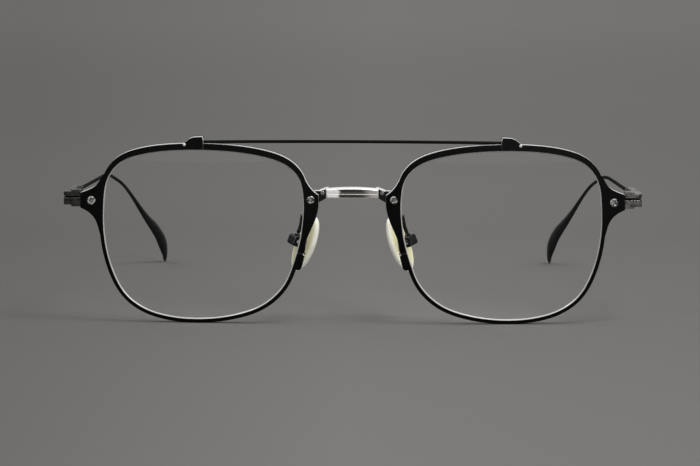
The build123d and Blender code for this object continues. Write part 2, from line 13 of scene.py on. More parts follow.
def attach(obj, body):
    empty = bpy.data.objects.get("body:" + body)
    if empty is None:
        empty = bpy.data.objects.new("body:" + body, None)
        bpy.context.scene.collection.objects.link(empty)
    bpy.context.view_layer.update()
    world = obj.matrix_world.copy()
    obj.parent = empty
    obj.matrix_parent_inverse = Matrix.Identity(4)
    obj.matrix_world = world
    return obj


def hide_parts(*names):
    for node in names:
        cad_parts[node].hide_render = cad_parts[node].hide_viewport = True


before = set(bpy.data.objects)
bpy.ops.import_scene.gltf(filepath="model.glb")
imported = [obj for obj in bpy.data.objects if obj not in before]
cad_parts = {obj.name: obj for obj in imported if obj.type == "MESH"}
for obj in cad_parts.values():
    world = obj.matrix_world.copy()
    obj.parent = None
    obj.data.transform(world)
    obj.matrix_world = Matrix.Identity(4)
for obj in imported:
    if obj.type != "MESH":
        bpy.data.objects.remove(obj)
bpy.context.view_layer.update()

LOG = logging.getLogger("glasses")
MM = 0.001
Colour = tuple[float, float, float]
Triple = tuple[float, float, float]
Stops = tuple[tuple[float, float], ...]
Node, Socket, Tree = bpy.types.Node, bpy.types.NodeSocket, bpy.types.NodeTree
# Near-white colour of painted highlights on edges.
PAINTED_EDGE_HIGHLIGHT: Colour = (0.9, 0.89, 0.87)
FRONT_WAY: Triple = (0.0, -0.995, -0.1)
BALL: Triple = (29.991 * MM, 59.64 * MM, 35.497 * MM)
BALL_RADIUS = 130.0 * MM
HAIR = 0.02 * MM


class Side(Enum):
    """The wearer's two sides, each with its direction along X."""

    LEFT = 1
    RIGHT = -1

    @property
    def tag(self) -> str:
        """Ending of the node names on this side."""
        return self.name.lower()


class Layer(Enum):
    """What a mix node mixes, with the places of its two inputs and its output."""

    VALUE = ("FLOAT", 2, 3, 0)
    COLOUR = ("RGBA", 6, 7, 2)


class Board:
    """Adds and joins nodes in one shader tree."""

    def __init__(self, tree: Tree) -> None:
        """Take the tree to work in."""
        self.tree = tree

    def feed(self, node: Node, key: str | int, value: object) -> None:
        """Give an input of a node another node's output or a plain value.

        Args:
            node: The node that is fed.
            key: Name or place of its input.
            value: An output socket, or the value that the input keeps.
        """
        socket = node.inputs[key]
        if isinstance(value, Socket):
            self.tree.links.new(value, socket)
        elif socket.type == "RGBA" and len(value) == 3:
            socket.default_value = (*value, 1.0)
        else:
            socket.default_value = value

    def add(self, kind: str, inputs: dict | None = None, **settings: object) -> Node:
        """Add a node.

        Args:
            kind: The node's type without its common first part.
            inputs: Values or sockets for its inputs, by name or place.
            settings: Properties of the node itself.

        Returns:
            The new node.
        """
        node = self.tree.nodes.new(f"ShaderNode{kind}")
        for name, value in settings.items():
            setattr(node, name, value)
        for key, value in (inputs or {}).items():
            self.feed(node, key, value)
        return node

    def place(self, group: Tree, **inputs: object) -> Node:
        """Place a node group.

        Args:
            group: The shared effect.
            inputs: Values or sockets for its inputs, by name.

        Returns:
            The group's node.
        """
        node = self.add("Group", node_tree=group)
        for key, value in inputs.items():
            self.feed(node, key.replace("_", " "), value)
        return node

    def sum(self, operation: str, *values: object, clamp: bool = False) -> Socket:
        """Work out one number from others.

        Args:
            operation: Name of the math operation.
            values: Its operands, sockets or numbers.
            clamp: Whether the result stays between 0 and 1.

        Returns:
            The result's socket.
        """
        node = self.add("Math", dict(enumerate(values)), operation=operation, use_clamp=clamp)
        return node.outputs[0]

    def blend(self, layer: Layer, share: object, first: object, second: object) -> Socket:
        """Mix two values or colours.

        Args:
            layer: What is mixed.
            share: How much of the second there is, from 0 to 1.
            first: What shows at 0.
            second: What shows at 1.

        Returns:
            The mixed socket.
        """
        kind, low, high, out = layer.value
        node = self.add("Mix", {0: share, low: first, high: second}, data_type=kind)
        return node.outputs[out]

    def between(self, value: object, low: object, high: object, first: float = 0.0,
                second: float = 1.0) -> Socket:
        """Turn a span of one value smoothly into a span of another.

        Args:
            value: The socket that is read.
            low: Its value where the result begins, a number or a socket.
            high: Its value where the result ends, a number or a socket.
            first: The result at the low end.
            second: The result at the high end.

        Returns:
            The result's socket.
        """
        span = {"Value": value, "From Min": low, "From Max": high, "To Min": first, "To Max": second}
        return self.add("MapRange", span, interpolation_type="SMOOTHSTEP").outputs["Result"]

    def times(self, first: object, second: object, clamp: bool = False) -> Socket:
        """Multiply two numbers.

        Args:
            first: One factor, a socket or a number.
            second: The other factor.
            clamp: Whether the result stays between 0 and 1.

        Returns:
            The result's socket.
        """
        return self.sum("MULTIPLY", first, second, clamp=clamp)

    def spot(self) -> Socket:
        """Read the place on the piece as one vector.

        Returns:
            The vector's socket.
        """
        return self.add("TexCoord").outputs["Object"]

    def where(self) -> Node:
        """Read the place on the piece.

        Returns:
            A node whose outputs are its X, Y and Z.
        """
        return self.add("SeparateXYZ", {"Vector": self.spot()})

    def left(self, share: object) -> Socket:
        """Work out what a share leaves of the whole.

        Args:
            share: The share, from 0 to 1.

        Returns:
            The result's socket.
        """
        return self.sum("SUBTRACT", 1.0, share)

    def emboss(self, shader: Node, height: object, depth: float, strength: float, **base: object) -> None:
        """Raise fine relief on a surface.

        Args:
            shader: The surface shader.
            height: Socket of the relief, from 0 to 1.
            depth: How high the relief stands.
            strength: How much of it shows.
            base: The normal that it stands on, as Normal, where that isn't the mesh's own.
        """
        bump = self.add("Bump", {"Strength": strength, "Distance": depth, "Height": height, **base})
        self.feed(shader, "Normal", bump.outputs["Normal"])


class Effects:
    """Shared surface effects, each a node group that is built once."""

    def __init__(self) -> None:
        """Build every group."""
        self.facing = self._facing()
        self.grain = self._grain()
        self.rounding = self._rounding()
        self.hollow_shade_and_tarnish = self._hollow_shade_and_tarnish()
        self.scrolls = self._scrolls()
        self.smudges = self._smudges()
        self.depth = self._depth()

    @staticmethod
    def _new(name: str, inputs: dict[str, object], outputs: dict[str, str]) -> tuple[Board, dict, Node]:
        """Start a group.

        Args:
            name: The group's name.
            inputs: Its inputs and their usual values.
            outputs: Its outputs and their kinds.

        Returns:
            The board of the group, its input sockets by name and its output node.
        """
        tree = bpy.data.node_groups.new(name, "ShaderNodeTree")
        for key, value in inputs.items():
            kind = "NodeSocketFloat" if isinstance(value, float) else "NodeSocketVector"
            tree.interface.new_socket(name=key, in_out="INPUT", socket_type=kind).default_value = value
        for key, kind in outputs.items():
            tree.interface.new_socket(name=key, in_out="OUTPUT", socket_type=f"NodeSocket{kind}")
        source = tree.nodes.new("NodeGroupInput")
        sink = tree.nodes.new("NodeGroupOutput")
        return Board(tree), {socket.name: socket for socket in source.outputs if socket.name}, sink

    def _facing(self) -> Tree:
        """Mask of the surfaces that face one way on the piece itself."""
        board, given, sink = self._new(
            "facing_mask", {"Direction": (0.0, -1.0, 0.0), "Low": 0.5, "High": 0.8}, {"Mask": "Float"}
        )
        coords = board.add("TexCoord")
        turned = board.add("VectorMath", {0: coords.outputs["Normal"], 1: given["Direction"]},
                           operation="DOT_PRODUCT")
        board.feed(sink, "Mask", board.between(turned.outputs["Value"], given["Low"], given["High"]))
        return board.tree

    def _grain(self) -> Tree:
        """Fine unevenness of a finish: a tone from 0 to 1 and a height."""
        board, given, sink = self._new(
            "fine_grain", {"Scale": 3000.0, "Stretch": (1.0, 1.0, 1.0)},
            {"Tone": "Float", "Height": "Float"},
        )
        drawn = board.add("VectorMath", {0: board.spot(), 1: given["Stretch"]}, operation="MULTIPLY")
        fine = board.add("TexNoise", {"Vector": drawn.outputs[0], "Scale": given["Scale"], "Detail": 3.0})
        broad_scale = board.times(given["Scale"], 0.09)
        broad = board.add("TexNoise", {"Vector": drawn.outputs[0], "Scale": broad_scale, "Detail": 2.0})
        tone = board.blend(Layer.VALUE, 0.5, fine.outputs["Fac"], broad.outputs["Fac"])
        board.feed(sink, "Tone", board.between(tone, 0.3, 0.7))
        board.feed(sink, "Height", fine.outputs["Fac"])
        return board.tree

    def _rounding(self) -> Tree:
        """Softened edges: a normal that rounds them and a mask where hands polish them, which also places
        painted highlights on edges.
        """
        board, given, sink = self._new(
            "rounded_edge", {"Reach": 0.08 * MM, "Gain": 4.0}, {"Normal": "Vector", "Wear_and_highlight": "Float"}
        )
        soft = board.add("Bevel", {"Radius": given["Reach"]}, samples=4)
        true = board.add("NewGeometry")
        turned = board.add("VectorMath", {0: soft.outputs["Normal"], 1: true.outputs["Normal"]},
                           operation="DOT_PRODUCT")
        bend = board.left(turned.outputs["Value"])
        patches = board.add("TexNoise", {"Vector": board.spot(), "Scale": 900.0, "Detail": 2.0})
        broken = board.between(patches.outputs["Fac"], 0.35, 0.65)
        worn = board.times(board.times(bend, given["Gain"]), broken, clamp=True)
        board.feed(sink, "Normal", soft.outputs["Normal"])
        board.feed(sink, "Wear_and_highlight", worn)
        return board.tree

    def _hollow_shade_and_tarnish(self) -> Tree:
        """Dark mask of painted shade in the hollows, from ambient occlusion, and of tarnish in cloudy
        patches of a metal.
        """
        board, given, sink = self._new(
            "tarnish_film", {"Reach": 0.5 * MM, "Scale": 500.0, "Cover": 0.4}, {"Mask": "Float"}
        )
        # Ambient occlusion darkens the hollows: painted shade.
        hollow = board.add("AmbientOcclusion", {"Distance": given["Reach"]}, samples=6)
        depth = board.between(hollow.outputs["AO"], 0.95, 0.35)
        clouds = board.add("TexNoise", {"Vector": board.spot(), "Scale": given["Scale"], "Detail": 4.0,
                                        "Roughness": 0.6})
        patch = board.times(board.between(clouds.outputs["Fac"], 0.4, 0.68), given["Cover"])
        board.feed(sink, "Mask", board.sum("MAXIMUM", depth, patch, clamp=True))
        return board.tree

    def _scrolls(self) -> Tree:
        """Common engraved scrollwork: curls round many centres, with a fine leaf grain between."""
        board, given, sink = self._new(
            "engraved_scrolls", {"Scale": 900.0}, {"Cut": "Float", "Height": "Float"}
        )
        spot = board.spot()
        sway = board.add("TexNoise", {"Vector": spot, "Scale": board.times(given["Scale"], 0.7),
                                      "Detail": 1.0})
        shift = board.add("VectorMath", {0: sway.outputs["Color"], "Scale": 0.6 * MM}, operation="SCALE")
        moved = board.add("VectorMath", {0: spot, 1: shift.outputs[0]}, operation="ADD")
        cells = board.add("TexVoronoi", {"Vector": moved.outputs[0], "Scale": given["Scale"]}, feature="F1")
        rings = board.sum("SINE", board.times(cells.outputs["Distance"], 16.0))
        edges = board.add("TexVoronoi", {"Vector": moved.outputs[0], "Scale": given["Scale"]},
                          feature="DISTANCE_TO_EDGE")
        veins = board.between(edges.outputs["Distance"], 0.0, 0.12)
        curl = board.between(rings, -0.35, 0.55)
        height = board.times(curl, veins)
        board.feed(sink, "Height", height)
        board.feed(sink, "Cut", board.left(height))
        return board.tree

    def _smudges(self) -> Tree:
        """Faint wipe marks."""
        board, given, sink = self._new("wipe_marks", {"Scale": 90.0}, {"Wiped": "Float"})
        drawn = board.add("VectorMath", {0: board.spot(), 1: (1.0, 1.0, 3.2)}, operation="MULTIPLY")
        broad = board.add("TexNoise", {"Vector": drawn.outputs[0], "Scale": given["Scale"], "Detail": 5.0,
                                       "Distortion": 0.8})
        board.feed(sink, "Wiped", board.between(broad.outputs["Fac"], 0.45, 0.7))
        return board.tree

    def _depth(self) -> Tree:
        """Mask of what lies near the skin of a ball, the same on both sides of the part."""
        board, given, sink = self._new(
            "domed_depth",
            {"Centre": BALL, "Radius": BALL_RADIUS, "Shallow": 0.42 * MM, "Deep": 0.5 * MM},
            {"Near": "Float"},
        )
        place = board.where()
        folded = board.add("CombineXYZ", {"X": board.sum("ABSOLUTE", place.outputs["X"]),
                                          "Y": place.outputs["Y"], "Z": place.outputs["Z"]})
        reach = board.add("VectorMath", {0: folded.outputs["Vector"], 1: given["Centre"]},
                          operation="DISTANCE")
        depth = board.sum("SUBTRACT", given["Radius"], reach.outputs["Value"])
        board.feed(sink, "Near", board.between(depth, given["Deep"], given["Shallow"]))
        return board.tree


@dataclass(frozen=True)
class Finish:
    """A finish of one kind of surface, which makes its material once."""

    name: str
    effects: Effects = field(repr=False)

    def material(self) -> bpy.types.Material:
        """Make the material.

        Returns:
            The finished material.
        """
        made = bpy.data.materials.get(self.name)
        if made is None:
            made = bpy.data.materials.new(self.name)
            made.use_nodes = True
            made.node_tree.nodes.clear()
            board = Board(made.node_tree)
            shader = board.add("BsdfPrincipled")
            output = board.add("OutputMaterial")
            board.feed(output, "Surface", shader.outputs["BSDF"])
            self.dress(board, shader, output)
        return made

    def dress(self, board: Board, shader: Node, output: Node) -> None:
        """Fill the material's nodes; each finish has its own way.

        Args:
            board: The board of the material.
            shader: Its surface shader.
            output: Its output node.
        """
        raise NotImplementedError


@dataclass(frozen=True)
class LacquerOnSilver(Finish):
    """Black lacquer on the front and on all that lies deep behind it, satin silver on the walls between."""

    lacquer: Colour = (0.0014, 0.0013, 0.0012)
    lacquer_rough: tuple[float, float] = (0.42, 0.5)
    silver: Colour = (0.8, 0.79, 0.78)
    silver_rough: tuple[float, float] = (0.31, 0.43)
    silver_metal: float = 0.35
    wear: float = 0.25
    deep: float = 0.42 * MM
    sheen: float = 0.07
    turn: tuple[float, float] = (0.62, 0.8)
    blur: float = 0.08 * MM
    wall: float = 1.25 * MM
    wall_blur: float = 0.05 * MM
    film: float = 0.85
    bead: Triple = (0.0, 0.0, 0.0)
    bead_radius: float = 0.0

    def dress(self, board: Board, shader: Node, output: Node) -> None:
        """Fill the material's nodes, with the lacquer worn a little at its edges."""
        low, high = self.turn
        front = board.place(self.effects.facing, Direction=FRONT_WAY, Low=low, High=high)
        edge = board.place(self.effects.rounding, Reach=0.06 * MM, Gain=2.5)
        grain = board.place(self.effects.grain, Scale=4200.0)
        marks = board.place(self.effects.smudges, Scale=70.0)
        film = board.place(self.effects.hollow_shade_and_tarnish, Reach=0.4 * MM, Scale=350.0, Cover=0.15)
        near = board.place(self.effects.depth, Shallow=self.deep, Deep=self.deep + self.blur)
        worn = board.times(edge.outputs["Wear_and_highlight"], self.wear)
        face = board.times(front.outputs["Mask"], near.outputs["Near"])
        wall = board.place(self.effects.depth, Shallow=self.wall, Deep=self.wall + self.wall_blur)
        face = board.sum("MAXIMUM", face, board.left(wall.outputs["Near"]))
        off_bead = board.place(self.effects.depth, Centre=self.bead, Radius=self.bead_radius, Shallow=-HAIR,
                               Deep=0.0)
        face = board.times(face, off_bead.outputs["Near"])
        cover = board.times(face, board.left(worn), clamp=True)
        # Painted shade with tarnish: the silver walls darken to a tenth of their tone in hollows and in
        # patches.
        shaded_and_tarnished = board.times(film.outputs["Mask"], self.film)
        bare = board.blend(Layer.COLOUR, shaded_and_tarnished, self.silver, tuple(part * 0.1 for part in self.silver))
        dusty = tuple(part + 0.002 for part in self.lacquer)
        coat = board.blend(Layer.COLOUR, grain.outputs["Tone"], self.lacquer, dusty)
        board.feed(shader, "Base Color", board.blend(Layer.COLOUR, cover, bare, coat))
        board.feed(shader, "Metallic", board.blend(Layer.VALUE, cover, self.silver_metal, 0.0))
        satin = board.between(marks.outputs["Wiped"], 0.0, 1.0, *self.lacquer_rough)
        metal = board.between(grain.outputs["Tone"], 0.0, 1.0, *self.silver_rough)
        board.feed(shader, "Roughness", board.blend(Layer.VALUE, cover, metal, satin))
        board.feed(shader, "Specular IOR Level", board.blend(Layer.VALUE, cover, 0.5, self.sheen))
        board.emboss(shader, grain.outputs["Height"], 0.004 * MM, 0.5, Normal=edge.outputs["Normal"])


@dataclass(frozen=True)
class PlainMetal(Finish):
    """A metal of one tone, with fine grain, softened edges, painted highlights on its edges where asked, and
    painted shade with tarnish in its hollows.
    """

    tone: Colour = (0.7, 0.7, 0.72)
    shade_and_tarnish_tone: Colour = (0.1, 0.1, 0.1)
    rough: float = 0.2
    rough_spread: float = 0.08
    film: float = 0.6
    cover: float = 0.3
    reach: float = 0.4 * MM
    grain_scale: float = 3500.0
    edge_reach: float = 0.06 * MM
    painted_highlight_share: float = 0.0
    metal: float = 1.0

    def dress(self, board: Board, shader: Node, output: Node) -> None:
        """Fill the material's nodes: painted shade and tarnish over the metal, and grain in its gloss."""
        edge = board.place(self.effects.rounding, Reach=self.edge_reach, Gain=3.0)
        grain = board.place(self.effects.grain, Scale=self.grain_scale)
        film = board.place(self.effects.hollow_shade_and_tarnish, Reach=self.reach, Scale=420.0, Cover=self.cover)
        # Painted shade with tarnish: hollows and patches take the dark tone and a rougher gloss, except on
        # worn edges.
        kept = board.sum("SUBTRACT", film.outputs["Mask"], edge.outputs["Wear_and_highlight"], clamp=True)
        share = board.times(kept, self.film)
        # Painted highlight: the edges turn near-white.
        painted_edge_highlight = board.times(edge.outputs["Wear_and_highlight"], self.painted_highlight_share, clamp=True)
        bare = board.blend(Layer.COLOUR, painted_edge_highlight, self.tone, PAINTED_EDGE_HIGHLIGHT)
        board.feed(shader, "Base Color", board.blend(Layer.COLOUR, share, bare, self.shade_and_tarnish_tone))
        board.feed(shader, "Metallic", self.metal)
        low = self.rough - self.rough_spread / 2
        gloss = board.between(grain.outputs["Tone"], 0.0, 1.0, low, low + self.rough_spread)
        board.feed(shader, "Roughness", board.blend(Layer.VALUE, share, gloss, 0.5))
        board.emboss(shader, grain.outputs["Height"], 0.003 * MM, 0.4, Normal=edge.outputs["Normal"])


@dataclass(frozen=True)
class BridgeWithPaintedReflections(Finish):
    """Bright silver bar with painted reflections, dark in its middle and grey on one side, with blackened
    seats.
    """

    silver: Colour = (1.0, 0.99, 0.97)
    # The brushed grey is a painted reflection on one side of the front.
    brushed: Colour = (0.54, 0.49, 0.46)
    smoke: Colour = (0.085, 0.072, 0.062)
    black: Colour = (0.012, 0.012, 0.013)
    half: float = 6.4 * MM
    rise: tuple[float, float] = (-0.6, -0.46)
    fall: tuple[float, float] = (0.3, 0.95)
    ragged: float = 0.16
    gloss: tuple[float, float] = (0.28, 0.44)

    def dress(self, board: Board, shader: Node, output: Node) -> None:
        """Fill the material's nodes: painted reflections change the tone along the bar and in streaks."""
        across = board.where().outputs["X"]
        front = board.place(self.effects.facing, Direction=FRONT_WAY, Low=0.8, High=0.93)
        edge = board.place(self.effects.rounding, Reach=0.07 * MM, Gain=3.0)
        streaks = board.place(self.effects.grain, Scale=2600.0, Stretch=(0.05, 1.0, 1.0))
        sway = board.times(board.sum("SUBTRACT", streaks.outputs["Tone"], 0.5), self.ragged * self.half)
        placed = board.sum("ADD", across, sway)
        rise = board.between(placed, *(share * self.half for share in self.rise))
        fall = board.between(placed, *(share * self.half for share in self.fall))
        middle = board.sum("SUBTRACT", rise, fall, clamp=True)
        painted_dark_reflection_mask = board.times(middle, front.outputs["Mask"])
        painted_grey_reflection_mask = board.times(fall, front.outputs["Mask"])
        # Painted reflections: the near-white silver ends stand in for a bright reflection, the grey side and
        # the dark middle for dimmer ones.
        painted_reflection_tone = board.blend(Layer.COLOUR, painted_grey_reflection_mask, self.silver, self.brushed)
        bar = board.blend(Layer.COLOUR, painted_dark_reflection_mask, painted_reflection_tone, self.smoke)
        reach = board.sum("ABSOLUTE", across)
        seat = board.between(reach, self.half - HAIR, self.half + HAIR)
        dark = board.times(seat, front.outputs["Mask"])
        board.feed(shader, "Base Color", board.blend(Layer.COLOUR, dark, bar, self.black))
        satin = board.blend(Layer.VALUE, front.outputs["Mask"], 0.6, 0.1)
        polish = board.blend(Layer.VALUE, painted_dark_reflection_mask, satin, 0.6)
        board.feed(shader, "Metallic", board.blend(Layer.VALUE, dark, polish, 0.2))
        brushed = board.between(streaks.outputs["Tone"], 0.0, 1.0, *self.gloss)
        gloss = board.blend(Layer.VALUE, painted_dark_reflection_mask, brushed, 0.2)
        board.feed(shader, "Roughness", board.blend(Layer.VALUE, dark, gloss, 0.45))
        board.feed(shader, "Specular IOR Level", board.blend(Layer.VALUE, dark, 0.5, 0.15))
        board.emboss(shader, streaks.outputs["Height"], 0.006 * MM, 0.5, Normal=edge.outputs["Normal"])


@dataclass(frozen=True)
class StarScrew(Finish):
    """Screw head with a grey face, a painted highlight on its rounded edges and painted shade with tarnish,
    nearly black, in its socket.
    """

    bright: Colour = (0.95, 0.94, 0.91)
    face: Colour = (0.66, 0.65, 0.62)
    shade_and_tarnish_black: Colour = (0.003, 0.003, 0.003)
    gloss: tuple[float, float] = (0.1, 0.22)
    metal: float = 0.4
    ahead: Triple = (0.0, -0.998, -0.06)

    def dress(self, board: Board, shader: Node, output: Node) -> None:
        """Fill the material's nodes: the flat of the head is darker than its rounded edge, which carries a
        painted highlight.
        """
        flat = board.place(self.effects.facing, Direction=self.ahead, Low=0.85, High=0.95)
        edge = board.place(self.effects.rounding, Reach=0.1 * MM, Gain=6.0)
        grain = board.place(self.effects.grain, Scale=3000.0)
        film = board.place(self.effects.hollow_shade_and_tarnish, Reach=0.5 * MM, Scale=1700.0, Cover=0.8)
        # Painted highlight: the rounded edges turn bright.
        turned = board.times(edge.outputs["Wear_and_highlight"], 3.0)
        dull = board.sum("SUBTRACT", flat.outputs["Mask"], turned, clamp=True)
        tone = board.blend(Layer.COLOUR, dull, self.bright, self.face)
        # Painted shade with tarnish: the socket and dark patches go nearly black.
        kept = board.between(film.outputs["Mask"], 0.1, 0.6)
        board.feed(shader, "Base Color", board.blend(Layer.COLOUR, kept, tone, self.shade_and_tarnish_black))
        board.feed(shader, "Metallic", board.blend(Layer.VALUE, kept, self.metal, 0.0))
        board.feed(shader, "Specular IOR Level", board.blend(Layer.VALUE, kept, 0.5, 0.2))
        gloss = board.between(grain.outputs["Tone"], 0.0, 1.0, *self.gloss)
        board.feed(shader, "Roughness", board.blend(Layer.VALUE, kept, gloss, 0.4))
        board.emboss(shader, grain.outputs["Height"], 0.003 * MM, 0.4, Normal=edge.outputs["Normal"])


@dataclass(frozen=True)
class EngravedPewter(Finish):
    """Antique pewter, engraved on its decorated length and dark and smooth on the wire behind it, with
    painted light: lighter tops, painted shade on one side, and, where asked, a painted shadow along a groove
    and painted highlights on its edges.
    """

    # Painted light: pewter is the tone of faces that look up, front the darker tone of those that don't.
    pewter: Colour = (0.6, 0.585, 0.57)
    front: Colour = (0.27, 0.26, 0.25)
    shade: Colour = (0.006, 0.006, 0.006)
    wire: Colour = (0.026, 0.026, 0.026)
    leaf: Colour = (0.026, 0.025, 0.024)
    cut_ends: tuple[float, float] = (-34.0 * MM, -27.0 * MM)
    bright_ends: tuple[float, float] = (-46.0 * MM, -34.0 * MM)
    groove: float = 1.0
    groove_half: float = 0.31 * MM
    groove_blur: float = 0.07 * MM
    glint: float = 0.0
    shaded_side: float = 0.32
    shaded_reach: float = 10.0 * MM
    scroll_scale: float = 620.0
    scroll_depth: float = 0.06 * MM
    gloss: tuple[float, float] = (0.22, 0.34)
    engraved_ahead: float = 0.2
    film_share: float = 0.75
    rubbing: float = 0.6

    def dress(self, board: Board, shader: Node, output: Node) -> None:
        """Fill the material's nodes: engraving that fades out along the temple, with painted shade on the
        right side.
        """
        place = board.where()
        smooth = board.between(place.outputs["Y"], *self.cut_ends)
        decorated = board.left(smooth)
        scrolls = board.place(self.effects.scrolls, Scale=self.scroll_scale)
        edge = board.place(self.effects.rounding, Reach=0.1 * MM, Gain=3.0)
        grain = board.place(self.effects.grain, Scale=3200.0)
        film = board.place(self.effects.hollow_shade_and_tarnish, Reach=0.7 * MM, Scale=900.0, Cover=0.95)
        ahead = board.place(self.effects.facing, Direction=(0.0, -1.0, 0.0), Low=0.45, High=0.8)
        above = board.place(self.effects.facing, Direction=(0.0, 0.0, 1.0), Low=0.15, High=0.6)
        shallow = board.blend(Layer.VALUE, ahead.outputs["Mask"], 1.0, self.engraved_ahead)
        carved = board.times(decorated, shallow)
        cut = board.times(scrolls.outputs["Cut"], carved)
        deep = board.sum("MAXIMUM", board.times(cut, self.film_share), film.outputs["Mask"])
        deep = board.sum("SUBTRACT", deep, board.times(edge.outputs["Wear_and_highlight"], self.rubbing), clamp=True)
        # Painted light: faces that look up are lighter than the others.
        lit = board.blend(Layer.COLOUR, above.outputs["Mask"], self.front, self.pewter)
        dim = board.between(place.outputs["Y"], *self.bright_ends)
        lit = board.blend(Layer.COLOUR, dim, lit, self.leaf)
        # Painted shadow: a dark band along the groove, on the faces that don't look up.
        level = board.sum("ABSOLUTE", board.sum("SUBTRACT", place.outputs["Z"], self.groove))
        painted_groove_shade = board.between(level, self.groove_half + self.groove_blur, self.groove_half - self.groove_blur)
        painted_groove_shade = board.times(painted_groove_shade, board.left(above.outputs["Mask"]))
        # Painted shade: the wearer's right side darkens to shaded_side of its tone.
        painted_side_shade = board.between(place.outputs["X"], 0.0, self.shaded_reach, self.shaded_side, 1.0)
        lit = board.add("VectorMath", {0: lit, "Scale": painted_side_shade}, operation="SCALE").outputs["Vector"]
        lit = board.blend(Layer.COLOUR, painted_groove_shade, lit, self.shade)
        bright = board.blend(Layer.COLOUR, smooth, lit, self.wire)
        # The dark shade colour fills the engraved cuts as patina and the hollows as painted shade.
        aged = board.blend(Layer.COLOUR, deep, bright, self.shade)
        # Painted highlight: edges turn near-white by glint.
        painted_edge_highlight = board.times(edge.outputs["Wear_and_highlight"], self.glint, clamp=True)
        board.feed(shader, "Base Color", board.blend(Layer.COLOUR, painted_edge_highlight, aged, PAINTED_EDGE_HIGHLIGHT))
        dark = board.sum("MAXIMUM", board.times(dim, 0.85), smooth)
        board.feed(shader, "Metallic", board.left(dark))
        board.feed(shader, "Specular IOR Level", board.blend(Layer.VALUE, dark, 0.5, 0.0))
        gloss = board.between(grain.outputs["Tone"], 0.0, 1.0, *self.gloss)
        board.feed(shader, "Roughness", board.blend(Layer.VALUE, deep, gloss, 0.55))
        relief = board.times(scrolls.outputs["Height"], carved)
        board.emboss(shader, relief, self.scroll_depth, 0.8, Normal=edge.outputs["Normal"])


@dataclass(frozen=True)
class ClearLens(Finish):
    """Clear lens, with faint wipe marks in its gloss."""

    index: float = 1.5
    coating: Colour = (0.22, 0.25, 0.26)
    shadow: Colour = (0.96, 0.96, 0.96)
    gloss: tuple[float, float] = (0.0, 0.012)

    def dress(self, board: Board, shader: Node, output: Node) -> None:
        """Fill the material's nodes, and let the light through to what lies behind the lens."""
        marks = board.place(self.effects.smudges, Scale=60.0)
        board.feed(shader, "Base Color", (1.0, 1.0, 1.0))
        board.feed(shader, "Transmission Weight", 1.0)
        board.feed(shader, "IOR", self.index)
        board.feed(shader, "Specular Tint", self.coating)
        board.feed(shader, "Roughness", board.between(marks.outputs["Wiped"], 0.0, 1.0, *self.gloss))
        path = board.add("LightPath")
        through = board.add("BsdfTransparent", {"Color": self.shadow})
        joined = board.add("MixShader", {0: path.outputs["Is Shadow Ray"], 1: shader.outputs["BSDF"],
                                         2: through.outputs["BSDF"]})
        board.feed(output, "Surface", joined.outputs["Shader"])


@dataclass(frozen=True)
class IvorySilicone(Finish):
    """Soft ivory pad, yellower where it is thick and nearly white at its thin edge."""

    heart: Colour = (0.7, 0.67, 0.41)
    rim: Colour = (0.97, 0.96, 0.88)
    ageing: float = 0.86
    gloss: tuple[float, float] = (0.34, 0.44)
    soft_reach: float = 1.2 * MM

    def dress(self, board: Board, shader: Node, output: Node) -> None:
        """Fill the material's nodes: the tone follows the pad's own thickness."""
        thin = board.add("Attribute", attribute_name="thinness")
        grain = board.place(self.effects.grain, Scale=2400.0)
        marks = board.place(self.effects.smudges, Scale=260.0)
        uneven = board.times(board.sum("SUBTRACT", grain.outputs["Tone"], 0.5), 0.12)
        share = board.sum("ADD", thin.outputs["Fac"], uneven, clamp=True)
        tone = board.blend(Layer.COLOUR, share, self.heart, self.rim)
        aged = tuple(part * self.ageing for part in self.heart)
        spots = board.times(marks.outputs["Wiped"], 0.25)
        board.feed(shader, "Base Color", board.blend(Layer.COLOUR, spots, tone, aged))
        board.feed(shader, "Roughness", board.between(marks.outputs["Wiped"], 0.0, 1.0, *self.gloss))
        board.feed(shader, "Specular IOR Level", 0.4)
        board.feed(shader, "Subsurface Weight", 0.35)
        board.feed(shader, "Subsurface Radius", (1.0, 0.85, 0.55))
        board.feed(shader, "Subsurface Scale", self.soft_reach)
        board.emboss(shader, grain.outputs["Height"], 0.01 * MM, 0.3)


@dataclass(frozen=True)
class BlackAcetate(Finish):
    """Polished black tip, with a smoky brown cast where it is scuffed."""

    black: Colour = (0.0016, 0.0016, 0.0017)
    scuff: Colour = (0.005, 0.0045, 0.004)
    gloss: tuple[float, float] = (0.28, 0.42)

    def dress(self, board: Board, shader: Node, output: Node) -> None:
        """Fill the material's nodes."""
        marks = board.place(self.effects.smudges, Scale=180.0)
        grain = board.place(self.effects.grain, Scale=2600.0)
        tone = board.blend(Layer.COLOUR, marks.outputs["Wiped"], self.black, self.scuff)
        board.feed(shader, "Base Color", tone)
        board.feed(shader, "Roughness", board.between(marks.outputs["Wiped"], 0.0, 1.0, *self.gloss))
        board.feed(shader, "Specular IOR Level", 0.12)
        board.emboss(shader, grain.outputs["Height"], 0.004 * MM, 0.3)


